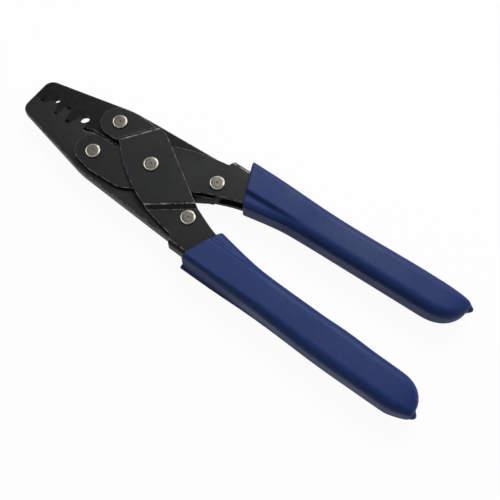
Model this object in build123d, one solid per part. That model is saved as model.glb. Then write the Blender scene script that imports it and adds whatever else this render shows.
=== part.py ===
"""Open-barrel terminal crimper: two folded channel handles, two parallel-action jaws,
five rivets over spacer bushes and two slip-on vinyl grips.

The tool lies flat and closed.  X runs from the jaws (-X) to the handles (+X), Y from the
lower handle to the upper one, and Z up.  The origin is on the axis of the centre pivot, in the
plane that the tool lies on.  Everything is drawn about the tool's middle plane and lifted once,
at the end.  Turned half a turn about X, each handle and its fittings become the other's.
"""
from build123d import *
from math import atan, cos, degrees, hypot, radians, sin, tan
import os

# ---- linkage (mm, degrees) ----
front_arm = 28.8             # centre pivot to each jaw pivot
rear_arm = 31.8              # centre pivot to each slot pin
half_angle = 20.0            # lever line to the tool's middle line, handles closed
opening_angle = 30.0         # travel of one handle against the other

# ---- sheet and layers ----
plate = 1.8                  # steel sheet of the handles
jaw_thick = 5.6              # jaw plate at the pivots
side_gap = 0.05              # jaw face to handle arm, and arm to crossing arm
nose_thick = 3.2             # jaw plate at its tip
nose_taper_length = 60.0     # length over which the jaw thins to its tip

# ---- rivets and bushes ----
head_radius = 3.6
head_height = 0.9
head_chamfer = 0.45
dimple_radius = 0.7          # centre mark of the upset head
dimple_depth = 0.3
shank_radius = 2.2
bush_radius = 3.2
fixed_fit = 0.02             # radial gap of a shank in its own arm or bush
running_fit = 0.05           # radial gap where a piece turns
slot_fit = 0.10              # gap each side of a bush in its slot
slot_end_gap = 0.35          # bush to the slot's end at each end of the travel

# ---- handle arms, closed, below and above the middle line ----
pad_radius = 8.6             # jaw pivot to the pad's inner and outer edges
pad_front = 9.2              # jaw pivot to the pad's front edge
pad_crown = 4.4              # jaw pivot back to where the pad's outer edge starts to fall
pad_fall = 2.8               # how far it falls by the front edge
pad_inner_corner = 7.9
pad_outer_corner = 7.5
throat_run = 7.0             # pad centre to the corner behind it
belly_x, belly_y = -2.3, 16.8      # corner of the outer edge's long curve
belly_radius = 75.0
shoulder_x = 5.5             # shoulder of the inner edge, ahead of the pivot
shoulder_drop = 0.85         # how far the inner edge falls from pad to shoulder
shoulder_radius = 12.0
crotch_lead = 1.3            # slot pin back to the kink in the inner edge
crotch_y = 3.7
crotch_radius = 30.0
bend_x, bend_y = 45.0, 10.45       # inner edge where the grip starts
bend_radius = 60.0
waist_x, waist_y = 75.0, 14.5      # inner edge where the handle straightens
waist_radius = 150.0
handle_end_x = 150.5
handle_end_y = 16.6
handle_outer_corner = 1.5
handle_inner_corner = 8.0

# ---- handle spine ----
spine_lead = 0.3             # spine's front end ahead of the slot pin
spine_front_y = 25.5         # outside of the spine at its front end
spine_rear_y = 28.8          # outside of the spine at its rear end
notch_depth = 3.6            # spine stands out from the arm's edge by this
notch_run = 1.2
notch_radius = 0.6
fold_inner_radius = 0.6

# ---- joggles that lift one arm of each handle over the other handle ----
front_joggle_angle = -35.2   # direction square to the front joggle's bend lines
front_joggle_at = 17.5       # centre pivot to its upper bend
rear_joggle_angle = -52.0
rear_joggle_at = 20.4
joggle_run = 2.3             # length of each ramp
joggle_inner_radius = 0.6

# ---- jaws ----
nose_x = 72.0                # tip ahead of the centre pivot
parting_drop = 0.65          # line where the jaws meet, below the centre pivot
nose_half_height = 10.15     # outer edge carried on to the tip, from the parting line
nose_corner_radius = 5.0
cheek_x, cheek_y = 26.4, 19.95     # where the outer edge turns along the tool
cheek_radius = 40.0
tail_bend_radius = 30.0      # outer edge, cheek to tail
jaw_wall_gap = 0.35          # lower jaw's outer edge to the inside of the spine
jaw_edge_radius = 0.5        # rounding of the outer edge
jaw_half_gap = 0.55          # parting line to each jaw behind the dies
tail_wall = 3.2              # metal behind the slot
tail_corner_radius = 3.0
tail_rise = 1.1              # slot pin out to the tail's rear inner corner
tail_lip_y = 4.4             # inner corner of the tail
tail_lip_lead = 3.0          # slot pin to that corner
tail_lip_radius = 1.2
tail_start_x = 24.0
tail_start_radius = 6.0
bush_relief = 0.9            # jaw to the centre bush

# ---- dies ----
die_line = (                 # where the teeth meet, from the tip back and up from the parting line
    (-72.0, -0.7), (-64.4, -0.9),
    (-63.7, 1.9), (-59.4, 1.9),
    (-57.5, -2.8), (-55.9, -2.8),
    (-55.0, 3.0), (-51.7, 3.0),
    (-50.5, -3.1), (-47.7, -3.1),
    (-46.6, 1.0), (-40.7, 1.0),
    (-40.2, -0.9),
)
round_nests = (              # middle and radius: insulation and closed barrels
    (-61.3, 3.4, 1.75),
    (-43.55, 3.1, 2.65),
)
twin_nests = (               # middle and lobe radius: open barrels, curled by two lobes
    (-66.6, -0.95, 0.75),
    (-56.7, -2.9, 0.45),
    (-53.35, 3.0, 0.75),
    (-49.1, -3.1, 0.7),
)
lobe_spread = 0.75           # lobe's middle from the nest's, in lobe radii
die_clearance = 0.10         # between interlocking teeth
upper_pocket = ((1.6, -0.8, 0.4), (4.8, 0.55, 1.5))                       # behind the last tooth
lower_pocket = ((0.0, -1.9), (2.6, -1.9, 0.6), (5.2, -0.55, 1.5))

# ---- grips ----
grip_wall = 2.2
grip_fit = 0.12              # channel edge to the grip's inside
grip_edge_radius = 4.2
grip_front_outer_x = 36.6    # slanted mouth, at the spine
grip_front_inner_x = 45.1    # slanted mouth, at the open side
grip_end_wall = 2.7
grip_outer_corner = 5.0      # the end's corner at the spine; the other one takes what is left
grip_end_flat = 0.6
grip_stagger = 4.8           # lower grip sits this much further back
mouth_stagger = 2.5          # its mouth is cut this much further back
nub_radius = 1.9
upper_nub_inset = 2.2        # nub's middle in from the grip's outer side
lower_nub_inset = 4.8
nub_length = 2.0

# ---- worked out ----
pivot_x = front_arm * cos(radians(half_angle))
pivot_y = front_arm * sin(radians(half_angle))
pin_x = rear_arm * cos(radians(half_angle))
pin_y = rear_arm * sin(radians(half_angle))
open_half_angle = half_angle + opening_angle / 2


def span(angle):
    """Distance from a jaw's pivot to its slot pin when each lever stands at this angle."""
    along = (front_arm + rear_arm) * cos(radians(angle))
    across = (rear_arm - front_arm) * sin(radians(angle))
    return hypot(along, across)


slot_travel = span(half_angle) - span(open_half_angle)
slot_slope = degrees(atan((pin_y - pivot_y) / (pin_x + pivot_x)))

arm_inner_z = jaw_thick / 2 + side_gap
arm_outer_z = arm_inner_z + plate
raised_inner_z = arm_outer_z + side_gap
raised_outer_z = raised_inner_z + plate
pivot_seat_z = raised_outer_z + side_gap
rest_height = pivot_seat_z + head_height       # middle plane above the surface
spine_front_x = pin_x - spine_lead
fold_radius = fold_inner_radius + plate
slot_half_width = bush_radius + slot_fit
jaw_rear_y = spine_front_y - plate - jaw_wall_gap - parting_drop
tail_end_x = pin_x + slot_half_width + slot_end_gap + tail_wall

LEVELS_UP = Pos(0, 0, rest_height)


# ---- drawing helpers ----
def outline(*corners):
    """A closed face from corners (x, y) or (x, y, radius), with tangent arcs at the radii."""
    count = len(corners)
    starts, ends, arcs = [], [], []
    for i, corner in enumerate(corners):
        here = Vector(*corner[:2])
        radius = corner[2] if len(corner) > 2 else 0
        back = (Vector(*corners[i - 1][:2]) - here).normalized()
        ahead = (Vector(*corners[(i + 1) % count][:2]) - here).normalized()
        if radius == 0:
            starts.append(here)
            ends.append(here)
            arcs.append(None)
            continue
        half_corner = radians(back.get_angle(ahead)) / 2
        reach = radius / tan(half_corner)
        middle = here + (back + ahead).normalized() * (radius / sin(half_corner) - radius)
        starts.append(here + back * reach)
        ends.append(here + ahead * reach)
        arcs.append(middle)
    edges = []
    for i in range(count):
        if arcs[i] is not None:
            edges.append(Edge.make_three_point_arc(starts[i], arcs[i], ends[i]))
        after = starts[(i + 1) % count]
        if (after - ends[i]).length > 1e-6:
            edges.append(Edge.make_line(ends[i], after))
    face = Face(Wire(edges))
    return Sketch() + (face if face.normal_at().Z > 0 else -face)


def slab(face, low, high):
    """The face raised into a plate between two heights."""
    return extrude(Pos(0, 0, low) * face, high - low)


def flipped(piece):
    """The same piece on the other handle: half a turn about X."""
    return Rot(180, 0, 0) * piece


# ---- handles ----
def spine_y(x):
    """Outside of the spine, from the middle line, at this x."""
    along = (x - spine_front_x) / (handle_end_x - spine_front_x)
    return spine_front_y + (spine_rear_y - spine_front_y) * along


def arm_face():
    """Outline of either arm of the lower handle, spine edge included."""
    notch_y = spine_front_y - notch_depth
    return outline(
        (-pivot_x - pad_front, pivot_y - pad_radius, pad_inner_corner),
        (-pivot_x + throat_run, pivot_y - pad_radius, 2.0),
        (belly_x, -belly_y, belly_radius),
        (spine_front_x - notch_run, -notch_y, notch_radius),
        (spine_front_x, -spine_front_y),
        (handle_end_x, -spine_rear_y, handle_outer_corner),
        (handle_end_x, -handle_end_y, handle_inner_corner),
        (waist_x, -waist_y, waist_radius),
        (bend_x, -bend_y, bend_radius),
        (pin_x - crotch_lead, -crotch_y, crotch_radius),
        (-shoulder_x, pivot_y + pad_radius - shoulder_drop, shoulder_radius),
        (-pivot_x + pad_crown, pivot_y + pad_radius, shoulder_radius),
        (-pivot_x - pad_front, pivot_y + pad_radius - pad_fall, pad_outer_corner),
    )


def joggle_sheet(angle, at, reach):
    """A wide sheet that steps down from the raised level beyond a bend line.

    angle is the direction square to the bends, at the distance of the upper bend from the
    centre pivot, and reach how far the sheet runs on at the lower level.
    """
    step = raised_inner_z - arm_inner_z
    lean = plate * tan(atan(step / joggle_run) / 2)
    outer_radius = joggle_inner_radius + plate
    high, low = raised_inner_z, arm_inner_z
    profile = outline(
        (-reach, high),
        (at - lean, high, joggle_inner_radius),
        (at - lean + joggle_run, low, outer_radius),
        (reach, low),
        (reach, low + plate),
        (at + joggle_run, low + plate, joggle_inner_radius),
        (at, high + plate, outer_radius),
        (-reach, high + plate),
    )
    standing = Plane(origin=(0, 0, 0), x_dir=(1, 0, 0), z_dir=(0, -1, 0)) * profile
    sheet = extrude(standing, reach, both=True)
    return Rot(0, 0, angle) * sheet


def joggled_arm():
    """The lower handle's front arm, lifted over the upper handle about the centre pivot."""
    reach = 2 * handle_end_x
    ahead = Rot(0, 0, front_joggle_angle) * Pos(-reach / 2, 0, 0) * Box(reach, 2 * reach, 4 * rest_height)
    front_half = joggle_sheet(front_joggle_angle + 180, front_joggle_at, reach) & ahead
    rear_half = joggle_sheet(rear_joggle_angle, rear_joggle_at, reach) - ahead
    blank = slab(arm_face(), 0, rest_height)
    return (front_half & blank) + (rear_half & blank)


def folded_bar(inset, half_height, radius):
    """A long bar whose only rounded edges run along the spine, this far inside it."""
    front_x, rear_x = spine_front_x - 10, handle_end_x + 10
    bar = slab(outline(
        (front_x, inset - spine_y(front_x)),
        (rear_x, inset - spine_y(rear_x)),
        (rear_x, 10),
        (front_x, 10),
    ), -half_height, half_height)
    rims = [e for e in bar.edges().filter_by(GeomType.LINE)
            if e.center().Y < 0 and e.length > handle_end_x - spine_front_x]
    return fillet(rims, radius)


def channel():
    """The folded stretch behind the spine's front end."""
    ahead = Pos(spine_front_x - 100, 0, 0) * Box(200, 200, 4 * rest_height)
    outer = folded_bar(0, arm_outer_z, fold_radius)
    inner = folded_bar(plate, arm_inner_z, fold_inner_radius)
    return ((slab(arm_face(), -arm_outer_z, arm_outer_z) - ahead) & outer) - inner


def handle():
    """The lower handle: a joggled front arm, a flat back arm and the channel behind."""
    ahead_of_spine = Pos(spine_front_x - 100, 0, 0) * Box(200, 200, 4 * rest_height)
    ramp_end = Pos(spine_front_x, 0, 0) * Box(40, spine_front_y, 4 * rest_height)
    front = joggled_arm() & (ahead_of_spine + ramp_end)
    back = slab(arm_face(), -arm_outer_z, -arm_inner_z) & ahead_of_spine
    body = channel() + front + back
    own = Pos(-pivot_x, pivot_y) * Circle(shank_radius + fixed_fit)
    own += Pos(pin_x, -pin_y) * Circle(shank_radius + fixed_fit)
    centre = Circle(shank_radius + running_fit)
    notch = Pos(spine_front_x - 5, -spine_front_y) * Box(10, 2 * fold_radius + 0.5, 2 * arm_outer_z)
    notch -= folded_bar(0, arm_outer_z, fold_radius)
    return body - notch - slab(own + centre, -rest_height, rest_height)


# ---- jaws ----
def nests():
    """The crimping cavities, at the ends of the teeth, through the jaws' thickness."""
    shapes = Sketch()
    for x, y, radius in round_nests:
        shapes += Pos(x, y) * Circle(radius)
    for x, y, lobe in twin_nests:
        shapes += Pos(x - lobe_spread * lobe, y) * Circle(lobe)
        shapes += Pos(x + lobe_spread * lobe, y) * Circle(lobe)
    return shapes


def jaw_face(side):
    """Outline of the upper (+1) or lower (-1) jaw, about the parting line."""
    drop = 0 if side > 0 else die_clearance
    teeth = [(x, y - drop) for x, y in die_line]
    last_x = die_line[-1][0]
    pocket = [(last_x + x, y, *radius) for x, y, *radius in (upper_pocket if side > 0 else lower_pocket)]
    return outline(
        *teeth, *pocket,
        (tail_start_x, side * jaw_half_gap, tail_start_radius),
        (pin_x + tail_lip_lead, side * tail_lip_y, tail_lip_radius),
        (tail_end_x, side * (pin_y + tail_rise), tail_corner_radius),
        (tail_end_x, side * jaw_rear_y, tail_corner_radius),
        (pin_x - tail_lip_lead, side * jaw_rear_y, tail_bend_radius),
        (-cheek_x, side * cheek_y, cheek_radius),
        (-nose_x, side * nose_half_height, nose_corner_radius),
    )


def jaw(side):
    """The upper (+1) or lower (-1) jaw, closed, thinned towards its tip."""
    full, thin = jaw_thick / 2, nose_thick / 2
    side_view = outline(
        (-nose_x - 1, thin), (-nose_x, thin), (-nose_x + nose_taper_length, full),
        (tail_end_x + 1, full), (tail_end_x + 1, -full),
        (-nose_x + nose_taper_length, -full), (-nose_x, -thin), (-nose_x - 1, -thin),
    )
    standing = Plane(origin=(0, 0, 0), x_dir=(1, 0, 0), z_dir=(0, -1, 0)) * side_view
    plate_body = extrude(standing, 2 * jaw_rear_y, both=True)
    plate_body &= slab(Pos(0, -parting_drop) * jaw_face(side), -jaw_thick, jaw_thick)
    rims = [e for e in plate_body.edges()
            if abs(e.center().Z) > thin - 0.01 and side * e.center().Y > pin_y and e.length > jaw_thick
            and abs(e.tangent_at(0.5).Z) < 0.1]
    plate_body = fillet(rims, jaw_edge_radius)
    holes = Pos(0, -parting_drop) * nests() + Circle(bush_radius + bush_relief)
    holes += Pos(-pivot_x, side * pivot_y) * Circle(bush_radius + running_fit)
    slot_middle = (pivot_x + pin_x) - slot_travel / 2
    slot = SlotCenterToCenter(slot_travel + 2 * slot_end_gap, 2 * slot_half_width)
    holes += Pos(-pivot_x, side * pivot_y) * Rot(0, 0, side * slot_slope) * Pos(slot_middle, 0) * slot
    return plate_body - slab(holes, -jaw_thick, jaw_thick)


# ---- rivets and bushes ----
def rivet(seat_z):
    """A solid rivet with both heads seated at this height: the upper one upset and dimpled."""
    top = seat_z + head_height
    rim = [
        (head_radius - head_chamfer, top), (head_radius, top - head_chamfer),
        (head_radius, seat_z), (shank_radius, seat_z), (shank_radius, 0),
    ]
    upset = outline((0, 0), (0, top - dimple_depth), (dimple_radius, top), *rim)
    plain = outline((0, 0), (0, top), *rim)
    return revolve(Plane.XZ * upset, Axis.Z) + Rot(180, 0, 0) * revolve(Plane.XZ * plain, Axis.Z)


def bush():
    """A spacer bush that holds a pair of arms apart round a rivet."""
    ring = Circle(bush_radius) - Circle(shank_radius + fixed_fit)
    return slab(ring, -arm_inner_z, arm_inner_z)


# ---- grips ----
def grip_outline(out, end_x, outer_corner, inner_corner, front_outer_y, rear_outer_y):
    """The lower grip's outside, or its hollow, standing out from the handle's edge by out."""
    front_x = grip_front_outer_x - 15
    rise = (bend_y - crotch_y) / (bend_x - pin_x + crotch_lead)
    return outline(
        (front_x, -front_outer_y - out),
        (end_x, -rear_outer_y - out, outer_corner),
        (end_x, -handle_end_y + out, inner_corner),
        (waist_x, -waist_y + out, waist_radius),
        (bend_x, -bend_y + out, bend_radius),
        (front_x, -bend_y + out + (bend_x - front_x) * rise),
    )


def grip(setback, mouth_setback, nub_inset):
    """The lower handle's grip: a closed-end vinyl sleeve with a slanted mouth and a moulding nub.

    setback is how much less far than flush the sleeve was pushed on, mouth_setback how much
    further back its mouth was cut, and nub_inset where the nub stands on its end.
    """
    out = grip_wall + grip_fit
    end_x = handle_end_x + grip_end_wall + setback
    inner_corner = spine_rear_y - handle_end_y + 2 * out - grip_outer_corner - grip_end_flat
    shell = grip_outline(out, end_x, grip_outer_corner, inner_corner, spine_rear_y, spine_rear_y)
    body = slab(shell, -rest_height, rest_height)
    mouth_x = min(e.center().X for e in body.edges())
    rims = [e for e in body.edges() if abs(abs(e.center().Z) - rest_height) < 1e-3
            and e.center().X > mouth_x + 0.5]
    body = fillet(rims, grip_edge_radius)
    outer_y = spine_rear_y + out
    nub = Pos(end_x, -outer_y + nub_inset) * Rot(0, 90, 0)
    stem_length = nub_length + grip_outer_corner
    body += nub * Pos(0, 0, nub_length - nub_radius - stem_length / 2) * Cylinder(nub_radius, stem_length)
    body += nub * Pos(0, 0, nub_length - nub_radius) * Sphere(nub_radius)
    hollow_end = handle_end_x + grip_fit + setback
    hollow = grip_outline(grip_fit, hollow_end, handle_outer_corner, handle_inner_corner,
                          spine_y(grip_front_outer_x - 15), spine_y(hollow_end))
    body -= slab(hollow, -arm_outer_z, arm_outer_z)
    inner_y = bend_y - grip_wall
    lean = (grip_front_inner_x - grip_front_outer_x) / (outer_y - inner_y)
    cut = outline(
        (0, -outer_y - 10), (grip_front_outer_x - 10 * lean, -outer_y - 10),
        (grip_front_inner_x + 12 * lean, -inner_y + 12), (0, -inner_y + 12),
    )
    return body - Pos(mouth_setback, 0, 0) * slab(cut, -2 * rest_height, 2 * rest_height)


# ---- the assembly ----
def build():
    """Every piece, named, in the closed tool."""
    lower_handle = handle()
    upper_at = {"jaw": Pos(-pivot_x, pivot_y), "slot": Pos(pin_x, pin_y)}
    lower_at = {"jaw": Pos(-pivot_x, -pivot_y), "slot": Pos(pin_x, -pin_y)}
    pieces = {
        "lower_handle": lower_handle,
        "upper_handle": flipped(lower_handle),
        "upper_jaw": jaw(1),
        "lower_jaw": jaw(-1),
        "centre_rivet": rivet(pivot_seat_z),
        "centre_bush": bush(),
        "lower_grip": grip(grip_stagger, mouth_stagger, lower_nub_inset),
        "upper_grip": flipped(grip(0, 0, upper_nub_inset)),
    }
    for side, places in (("upper", upper_at), ("lower", lower_at)):
        for name, place in places.items():
            pieces[f"{side}_{name}_rivet"] = place * rivet(arm_outer_z)
            pieces[f"{side}_{name}_bush"] = place * bush()
    return {name: LEVELS_UP * piece for name, piece in pieces.items()}


os.makedirs("parts", exist_ok=True)
for node, piece in build().items():
    export_step(piece, f"parts/{node}.step")
print(f"slot travel {slot_travel:.2f}  slope {slot_slope:.3f}  middle plane {rest_height:.2f}")
print(f"pivot {pivot_x:.3f} {pivot_y:.3f}  pin {pin_x:.3f} {pin_y:.3f}")
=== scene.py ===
"""A terminal crimper: black oxided handles and jaws, upset steel rivets, blue vinyl sleeves.

Laid out as an add-on and run as a script.  The tool lies flat and closed, with X from the jaws
to the grips, Y from the lower handle to the upper one and Z up out of the bench.
Sizes that carry _mm are millimetres; every other length is in metres.
"""

import math

import bmesh
import bpy
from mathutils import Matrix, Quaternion, Vector
from mathutils.bvhtree import BVHTree


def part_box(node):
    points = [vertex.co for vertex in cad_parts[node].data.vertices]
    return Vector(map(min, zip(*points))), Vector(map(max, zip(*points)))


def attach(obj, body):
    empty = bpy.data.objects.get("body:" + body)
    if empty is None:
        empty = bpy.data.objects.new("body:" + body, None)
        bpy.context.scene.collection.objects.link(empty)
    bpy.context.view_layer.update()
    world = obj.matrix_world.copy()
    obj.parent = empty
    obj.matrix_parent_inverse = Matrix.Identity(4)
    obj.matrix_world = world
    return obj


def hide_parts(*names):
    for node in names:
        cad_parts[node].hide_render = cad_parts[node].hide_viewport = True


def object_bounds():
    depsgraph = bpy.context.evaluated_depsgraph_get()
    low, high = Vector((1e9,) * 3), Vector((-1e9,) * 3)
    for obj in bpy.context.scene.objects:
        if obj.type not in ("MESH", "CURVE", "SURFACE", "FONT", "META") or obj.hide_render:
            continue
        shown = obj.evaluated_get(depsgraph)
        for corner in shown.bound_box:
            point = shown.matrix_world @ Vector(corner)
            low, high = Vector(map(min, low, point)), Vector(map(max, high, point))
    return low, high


bl_info = {
    "name": "Terminal Crimper",
    "version": (1, 0, 0),
    "blender": (4, 5, 0),
    "location": "3D View > Sidebar > Crimper",
    "description": "Builds a hand crimper's steelwork, rivets and vinyl sleeves round its CAD frame",
    "category": "Object",
}

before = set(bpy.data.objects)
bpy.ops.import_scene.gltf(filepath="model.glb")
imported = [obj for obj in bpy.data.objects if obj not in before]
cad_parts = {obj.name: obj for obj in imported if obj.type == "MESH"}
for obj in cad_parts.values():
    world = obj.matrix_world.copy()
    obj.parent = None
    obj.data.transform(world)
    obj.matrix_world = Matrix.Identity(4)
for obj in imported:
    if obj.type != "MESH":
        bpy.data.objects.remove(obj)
CAD_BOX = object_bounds()

MM = 0.001
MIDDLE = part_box("centre_bush")
MIDDLE_Z = (MIDDLE[0].z + MIDDLE[1].z) / 2          # the tool's middle plane

LEVER_OF = {"lower": "lower_lever", "upper": "upper_lever"}
TURN = {"lower": -1, "upper": 1}                    # half a turn about X takes one to the other


# ---------------------------------------------------------------- colours and nodes
def linear(code):
    """A colour written as sRGB hex, turned to the linear values that shaders take."""
    steps = [int(code[i:i + 2], 16) / 255 for i in (1, 3, 5)]
    return [s / 12.92 if s <= 0.04045 else ((s + 0.055) / 1.055) ** 2.4 for s in steps]


def opaque(colour):
    """The same colour with full alpha, for sockets that take four values."""
    return (*colour[:3], 1.0)


def add(tree, kind, sockets=None, **settings):
    """Adds a node with its settings, and fills its sockets with values or links."""
    made = tree.nodes.new(kind)
    for name, value in settings.items():
        setattr(made, name, value)
    for name, value in (sockets or {}).items():
        socket = made.inputs[name]
        if isinstance(value, bpy.types.NodeSocket):
            tree.links.new(value, socket)
        else:
            socket.default_value = value
    return made


def new_material(name):
    """An empty node material, with its tree and output ready."""
    made = bpy.data.materials.new(name)
    made.use_nodes = True
    made.node_tree.nodes.clear()
    return made, made.node_tree


def direct_sight(tree):
    """1 for rays from the lens or off and through shiny things, 0 for those that carry light."""
    ray = add(tree, "ShaderNodeLightPath").outputs
    seen = add(tree, "ShaderNodeMath", {0: ray["Is Camera Ray"], 1: ray["Is Glossy Ray"]},
               operation="MAXIMUM").outputs[0]
    return add(tree, "ShaderNodeMath", {0: seen, 1: ray["Is Transmission Ray"]},
               operation="MAXIMUM").outputs[0]


def per_mm(width):
    """Texture scale that gives one cell of this many millimetres."""
    return 1000.0 / width


# ---------------------------------------------------------------- materials
def oxided_steel(name, black, worn, wear, grain_mm, roughness, gloss):
    """Black oxided steel.  The eye sees a near-black, slightly oily satin with soft mottling,
    a fine tooth where the sheet was rolled or ground, and faint grey rubs where it is handled."""
    made, tree = new_material(name)
    place = add(tree, "ShaderNodeTexCoord").outputs["Object"]
    # oil and bluing stains, 14 mm across, and cloudy smaller ones, 3 mm
    stains = add(tree, "ShaderNodeTexNoise", {"Vector": place, "Scale": per_mm(14), "Detail": 4.0,
                                              "Roughness": 0.6}).outputs["Fac"]
    clouds = add(tree, "ShaderNodeTexNoise", {"Vector": place, "Scale": per_mm(3), "Detail": 3.0,
                                              "Roughness": 0.7}).outputs["Fac"]
    # tooth of the rolled or ground face, drawn along the tool and coarser than real so it shows
    along = add(tree, "ShaderNodeMapping", {"Vector": place, "Scale": (0.08, 1.0, 1.0),
                                            "Rotation": (0.0, 0.0, 0.12)}).outputs["Vector"]
    tooth = add(tree, "ShaderNodeTexNoise", {"Vector": along, "Scale": per_mm(grain_mm), "Detail": 2.0,
                                             "Roughness": 0.8}).outputs["Fac"]
    # handling scratches: the edges of 2.2 mm cells drawn out aslant, only where the oxide is stained
    turned = add(tree, "ShaderNodeMapping", {"Vector": place, "Scale": (0.12, 1.0, 1.0),
                                             "Rotation": (0.0, 0.0, -0.7)}).outputs["Vector"]
    cells = add(tree, "ShaderNodeTexVoronoi", {"Vector": turned, "Scale": per_mm(2.2), "Randomness": 1.0},
                feature="DISTANCE_TO_EDGE").outputs["Distance"]
    line = add(tree, "ShaderNodeMapRange", {"Value": cells, "From Min": 0.0, "From Max": 0.03,
                                            "To Min": 1.0, "To Max": 0.0}).outputs["Result"]
    patchy = add(tree, "ShaderNodeMapRange", {"Value": stains, "From Min": 0.56,
                                              "From Max": 0.70}).outputs["Result"]
    scratch = add(tree, "ShaderNodeMath", {0: line, 1: patchy}, operation="MULTIPLY").outputs[0]
    rub = add(tree, "ShaderNodeMapRange", {"Value": clouds, "From Min": 0.42, "From Max": 0.72,
                                           "To Min": 0.0, "To Max": wear}).outputs["Result"]
    shown = add(tree, "ShaderNodeMath", {0: scratch, 1: 0.22, 2: rub}, operation="MULTIPLY_ADD",
                use_clamp=True).outputs[0]
    colour = add(tree, "ShaderNodeMix", {0: shown, 6: opaque(black), 7: opaque(worn)},
                 data_type="RGBA").outputs[2]
    dull = add(tree, "ShaderNodeMapRange", {"Value": stains, "From Min": 0.3, "From Max": 0.7,
                                            "To Min": roughness - 0.05,
                                            "To Max": roughness + 0.09}).outputs["Result"]
    bumps = add(tree, "ShaderNodeMath", {0: tooth, 1: 0.6, 2: clouds}, operation="MULTIPLY_ADD").outputs[0]
    relief = add(tree, "ShaderNodeBump", {"Height": bumps, "Strength": 0.16,
                                          "Distance": 0.00005}).outputs["Normal"]
    skin = add(tree, "ShaderNodeBsdfPrincipled", {"Base Color": colour, "Roughness": dull, "Normal": relief,
                                                  "Metallic": 0.0, "IOR": 1.45, "Specular IOR Level": gloss})
    add(tree, "ShaderNodeOutputMaterial", {"Surface": skin.outputs[0]})
    return made


def rubbed_edge_and_bend_highlight(name, black, grey, cover_mm):
    """Edge of oxided plate, rubbed through to the steel.  The eye sees a thin, broken bright line.  The same
    grey also lies along the sheet's bends as a painted highlight.
    """
    made, tree = new_material(name)
    place = add(tree, "ShaderNodeTexCoord").outputs["Object"]
    patches = add(tree, "ShaderNodeTexNoise", {"Vector": place, "Scale": per_mm(cover_mm), "Detail": 3.0,
                                               "Roughness": 0.6}).outputs["Fac"]
    through = add(tree, "ShaderNodeMapRange", {"Value": patches, "From Min": 0.38,
                                               "From Max": 0.68}).outputs["Result"]
    colour = add(tree, "ShaderNodeMix", {0: through, 6: opaque(black), 7: opaque(grey)},
                 data_type="RGBA").outputs[2]
    dull = add(tree, "ShaderNodeMapRange", {"Value": patches, "From Min": 0.3, "From Max": 0.7,
                                            "To Min": 0.55, "To Max": 0.40}).outputs["Result"]
    skin = add(tree, "ShaderNodeBsdfPrincipled", {"Base Color": colour, "Roughness": dull, "Metallic": 0.35,
                                                  "Specular IOR Level": 0.2})
    add(tree, "ShaderNodeOutputMaterial", {"Surface": skin.outputs[0]})
    return made


def bare_steel(name, face, bright, roughness, pit_mm):
    """Bare steel that was upset or turned.  The eye sees dull warm grey metal, unevenly stained
    and finely pitted."""
    made, tree = new_material(name)
    place = add(tree, "ShaderNodeTexCoord").outputs["Object"]
    stain = add(tree, "ShaderNodeTexNoise", {"Vector": place, "Scale": per_mm(1.6), "Detail": 4.0,
                                             "Roughness": 0.65}).outputs["Fac"]
    pits = add(tree, "ShaderNodeTexNoise", {"Vector": place, "Scale": per_mm(pit_mm), "Detail": 2.0,
                                            "Roughness": 0.7}).outputs["Fac"]
    tone = add(tree, "ShaderNodeMapRange", {"Value": stain, "From Min": 0.3,
                                            "From Max": 0.7}).outputs["Result"]
    colour = add(tree, "ShaderNodeMix", {0: tone, 6: opaque(face), 7: opaque(bright)},
                 data_type="RGBA").outputs[2]
    dull = add(tree, "ShaderNodeMapRange", {"Value": stain, "From Min": 0.3, "From Max": 0.7,
                                            "To Min": roughness + 0.07,
                                            "To Max": roughness - 0.05}).outputs["Result"]
    relief = add(tree, "ShaderNodeBump", {"Height": pits, "Strength": 0.25,
                                          "Distance": 0.00005}).outputs["Normal"]
    skin = add(tree, "ShaderNodeBsdfPrincipled", {"Base Color": colour, "Roughness": dull, "Normal": relief,
                                                  "Metallic": 1.0})
    add(tree, "ShaderNodeOutputMaterial", {"Surface": skin.outputs[0]})
    return made


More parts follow.
